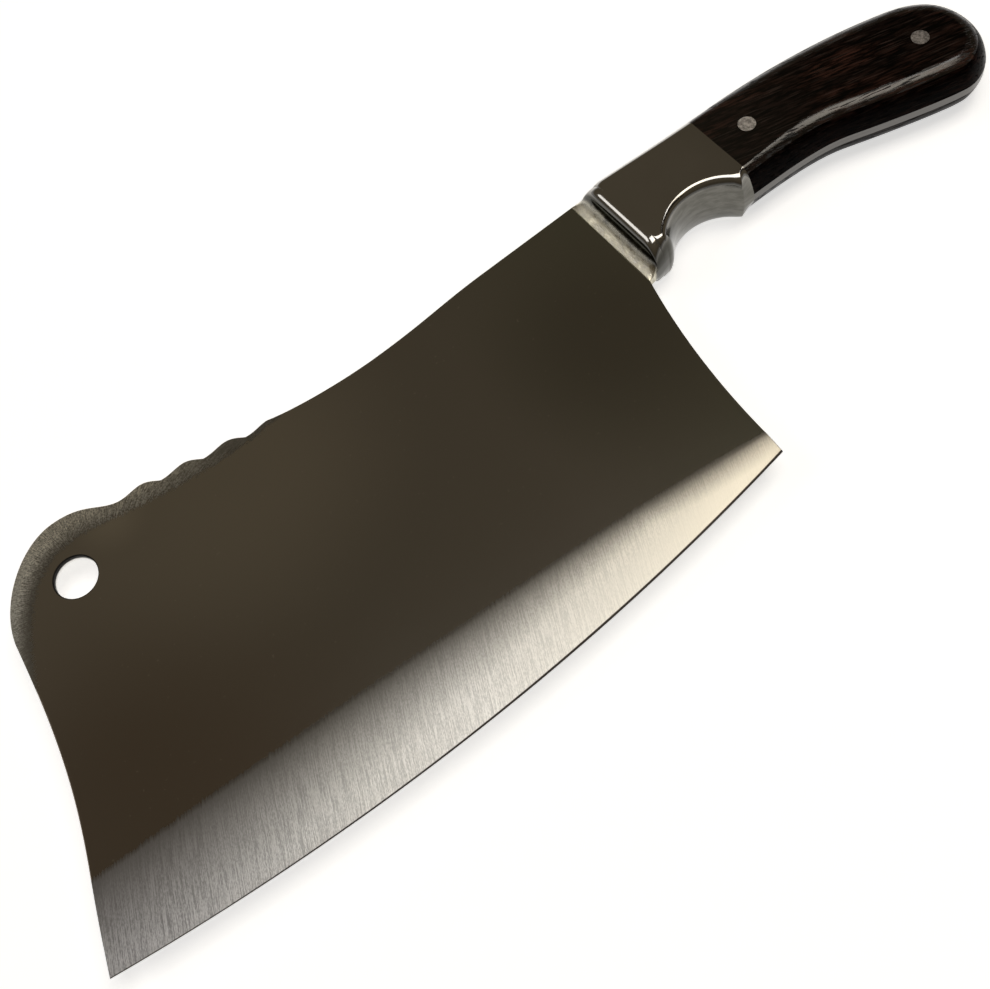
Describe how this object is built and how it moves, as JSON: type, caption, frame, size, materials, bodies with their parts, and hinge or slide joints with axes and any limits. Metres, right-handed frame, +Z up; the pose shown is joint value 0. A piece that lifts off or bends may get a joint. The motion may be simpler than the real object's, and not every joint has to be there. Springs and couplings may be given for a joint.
{
  "type": "meat cleaver",
  "caption": "Meat cleaver: broad blade with a curved ground edge, hanging ear and scalloped spine, a finger-notched steel bolster and a riveted dark wooden grip.",
  "frame": {"origin": "under the middle of the outline, on the surface that the cleaver lies on", "axes": "+X from the toe of the blade to the butt of the grip, +Y from the cutting edge to the spine, +Z up through the thickness"},
  "size_m": [0.3282, 0.1178, 0.0175],
  "materials": {
    "blade_steel": "polished faces with a satin-ground bevel",
    "bolster_steel": "polished, with bright rounded edges",
    "grip_wood": "very dark brown hardwood, oiled to a sheen",
    "rivet_steel": "ground flush with the wood"
  },
  "bodies": {
    "root": {"blade": "blade_steel", "left_bolster": "bolster_steel", "right_bolster": "bolster_steel", "left_scale": "grip_wood", "right_scale": "grip_wood", "front_rivet_sleeve": "rivet_steel", "front_rivet_stud": "rivet_steel", "rear_rivet_sleeve": "rivet_steel", "rear_rivet_stud": "rivet_steel"}
  },
  "joints": []
}
